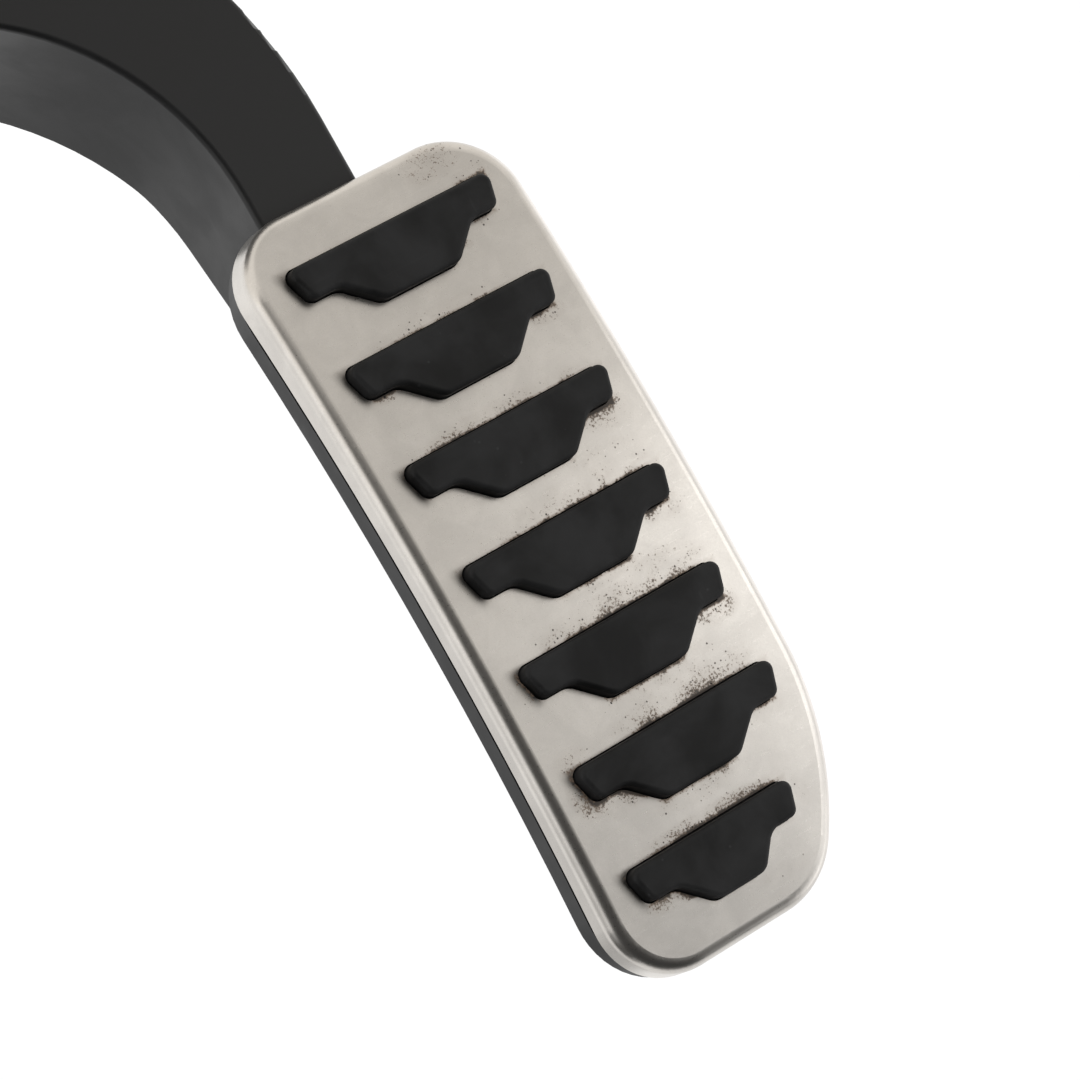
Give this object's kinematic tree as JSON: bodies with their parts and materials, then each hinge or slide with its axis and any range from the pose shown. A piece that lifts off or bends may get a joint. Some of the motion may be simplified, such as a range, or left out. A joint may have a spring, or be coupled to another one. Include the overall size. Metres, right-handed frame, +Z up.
{
  "type": "accelerator pedal",
  "caption": "Hanging accelerator pedal: satin steel pad with rubber lugs on a swan-neck moulded arm, sprung in a bulkhead pivot housing with a position sensor.",
  "frame": {"origin": "middle of the bolt circle on the flat mounting face of the pivot housing", "axes": "+X to the driver's right, +Y forward into the bulkhead, +Z up; the pad faces back and up, leaning sixty degrees from level"},
  "size_m": [0.134, 0.2027, 0.2697],
  "materials": {
    "arm_plastic": "black glass-filled moulding, fine even grain, low sheen",
    "satin_steel": "satin stainless sheet, warm grey, fine scratches and trodden-in grit",
    "tread_rubber": "matt black rubber, dusty",
    "plated_steel": "zinc-plated steel",
    "shaft_steel": "ground steel",
    "carrier_plastic": "natural moulding",
    "magnet_ferrite": "dark sintered ferrite",
    "plunger_plastic": "natural acetal",
    "housing_plastic": "black glass-filled moulding",
    "bush_bronze": "sintered bronze",
    "spring_steel": "oiled spring wire",
    "buffer_rubber": "matt rubber",
    "board_laminate": "green laminate",
    "chip_plastic": "moulded package",
    "terminal_brass": "tinned brass",
    "cover_plastic": "black moulding",
    "seal_rubber": "matt rubber"
  },
  "bodies": {
    "housing": {"pivot_housing": "housing_plastic", "left_bush": "bush_bronze", "right_bush": "bush_bronze", "outer_return_spring": "spring_steel", "inner_return_spring": "spring_steel", "idle_stop_buffer": "buffer_rubber", "full_travel_buffer": "buffer_rubber", "circuit_board": "board_laminate", "hall_sensors": "chip_plastic", "connector_terminals": "terminal_brass", "sensor_cover": "cover_plastic", "cover_seal": "seal_rubber", "cover_screws": "plated_steel", "mounting_bushes": "plated_steel"},
    "pedal": {"pedal_arm": "arm_plastic", "tread_plate": "satin_steel", "rubber_tread": "tread_rubber", "tread_nuts": "plated_steel", "pivot_shaft": "shaft_steel", "shaft_clip": "plated_steel", "magnet_carrier": "carrier_plastic", "ring_magnet": "magnet_ferrite"},
    "plunger": {"friction_plunger": "plunger_plastic"}
  },
  "joints": [
    {"name": "pedal_pivot", "type": "hinge", "parent": "housing", "child": "pedal", "pos_m": [0, -0.054, -0.002], "axis": [1, 0, 0], "range_deg": [0, 16], "stiffness_Nm_per_rad": 13, "springref_deg": -17.19},
    {"name": "plunger_slide", "type": "slide", "parent": "housing", "child": "plunger", "axis": [0, 0, 1], "range_m": [0, 0.0095], "deforming": ["outer_return_spring", "inner_return_spring"]}
  ],
  "couplings": [
    {"joint": "plunger_slide", "follows": "pedal_pivot", "m_per_rad": 0.033391}
  ]
}
